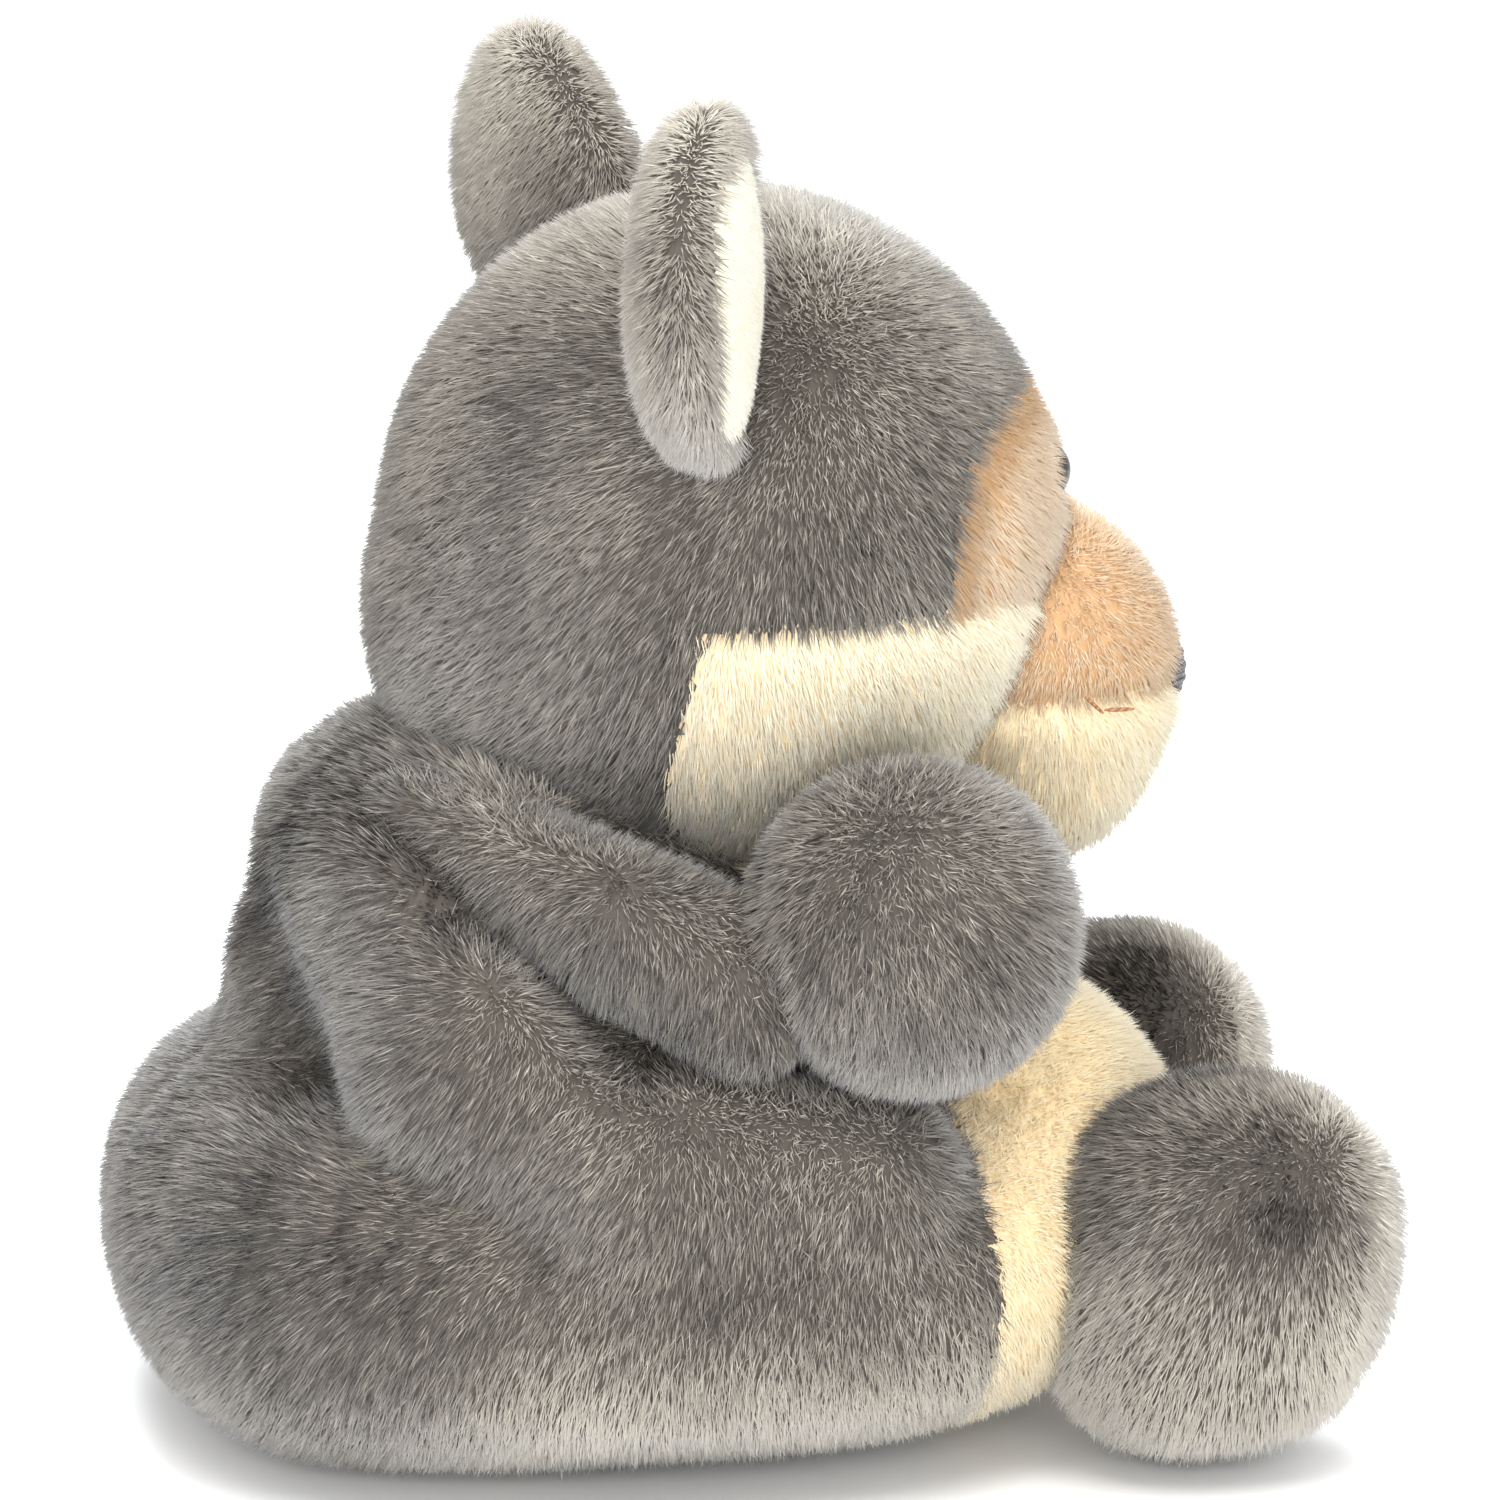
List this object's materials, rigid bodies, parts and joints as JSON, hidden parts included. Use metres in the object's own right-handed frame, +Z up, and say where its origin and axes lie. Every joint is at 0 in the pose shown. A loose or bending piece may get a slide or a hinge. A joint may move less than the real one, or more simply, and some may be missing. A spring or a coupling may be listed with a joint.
{
  "type": "stuffed monkey",
  "caption": "Small seated plush monkey with a bean-bag seat, turning and nodding head, bendable ears, swinging arms and tipping feet.",
  "frame": {"origin": "on the resting face, under the middle of the overall box", "axes": "+Z up; the toy faces -Y and its right side is -X"},
  "size_m": [0.1092, 0.1216, 0.1283],
  "materials": {
    "grey_pile": "short plush pile, soft and matte",
    "pale_grey_pile": "short plush pile, paler grey",
    "cream_pile": "short plush pile, cream",
    "tan_pile": "short plush pile, tan",
    "ivory_velour": "very short velour",
    "fibre_filling": "loose polyester fibre",
    "bag_cloth": "thin woven lining cloth",
    "pellet_plastic": "smooth plastic pellets",
    "grey_thread": "sewing thread",
    "nose_thread": "satin embroidery thread",
    "brown_thread": "embroidery thread",
    "eye_plastic": "polished black plastic",
    "washer_plastic": "moulded plastic"
  },
  "bodies": {
    "torso": {"base_panel": "grey_pile", "belly_panel": "cream_pile", "right_side_panel": "grey_pile", "left_side_panel": "grey_pile", "body_filling": "fibre_filling", "pellet_bag": "bag_cloth", "pellets": "pellet_plastic", "closing_stitches": "grey_thread"},
    "neck": {"neck_filling": "fibre_filling"},
    "head": {"head_back_panel": "grey_pile", "right_head_panel": "grey_pile", "left_head_panel": "grey_pile", "right_cheek_panel": "cream_pile", "left_cheek_panel": "cream_pile", "face_mask": "tan_pile", "head_filling": "fibre_filling", "muzzle_panel": "tan_pile", "chin_panel": "cream_pile", "muzzle_filling": "fibre_filling", "nose_embroidery": "nose_thread", "mouth_corner_stitches": "brown_thread", "right_eye": "eye_plastic", "left_eye": "eye_plastic", "right_eye_washer": "washer_plastic", "left_eye_washer": "washer_plastic"},
    "right_ear": {"right_ear_back": "grey_pile", "right_ear_lining": "ivory_velour"},
    "right_arm": {"right_arm_panel": "grey_pile", "right_palm_panel": "grey_pile", "right_arm_filling": "fibre_filling"},
    "right_foot": {"right_foot_upper": "grey_pile", "right_foot_sole": "pale_grey_pile", "right_foot_filling": "fibre_filling"},
    "left_ear": {"left_ear_back": "grey_pile", "left_ear_lining": "ivory_velour"},
    "left_arm": {"left_arm_panel": "grey_pile", "left_palm_panel": "grey_pile", "left_arm_filling": "fibre_filling"},
    "left_foot": {"left_foot_upper": "grey_pile", "left_foot_sole": "pale_grey_pile", "left_foot_filling": "fibre_filling"}
  },
  "joints": [
    {"name": "head_turn", "type": "hinge", "parent": "torso", "child": "neck", "pos_m": [0, 0, 0.0846], "axis": [0, 0, 1], "range_deg": [-15, 15], "stiffness_Nm_per_rad": 0.02},
    {"name": "head_nod", "type": "hinge", "parent": "neck", "child": "head", "pos_m": [0, 0, 0.0846], "axis": [1, 0, 0], "range_deg": [-10, 8], "stiffness_Nm_per_rad": 0.02},
    {"name": "right_arm_swing", "type": "hinge", "parent": "torso", "child": "right_arm", "pos_m": [-0.027, 0.024, 0.059], "axis": [0, 0, -1], "range_deg": [0, 35], "stiffness_Nm_per_rad": 0.01},
    {"name": "left_arm_swing", "type": "hinge", "parent": "torso", "child": "left_arm", "pos_m": [0.027, 0.024, 0.059], "axis": [0, 0, 1], "range_deg": [0, 35], "stiffness_Nm_per_rad": 0.01},
    {"name": "right_foot_tip", "type": "hinge", "parent": "torso", "child": "right_foot", "pos_m": [-0.0315, -0.0422, 0.0186], "axis": [1, 0, 0], "range_deg": [-20, 20], "stiffness_Nm_per_rad": 0.01},
    {"name": "left_foot_tip", "type": "hinge", "parent": "torso", "child": "left_foot", "pos_m": [0.0315, -0.0422, 0.0186], "axis": [1, 0, 0], "range_deg": [-20, 20], "stiffness_Nm_per_rad": 0.01},
    {"name": "right_ear_bend", "type": "hinge", "parent": "head", "child": "right_ear", "pos_m": [-0.02901, 0.00943, 0.10726], "axis": [0.567, -0.1842, 0.8028], "range_deg": [-15, 15], "stiffness_Nm_per_rad": 0.004},
    {"name": "left_ear_bend", "type": "hinge", "parent": "head", "child": "left_ear", "pos_m": [0.02901, 0.00943, 0.10726], "axis": [0.567, 0.1842, -0.8028], "range_deg": [-15, 15], "stiffness_Nm_per_rad": 0.004}
  ]
}
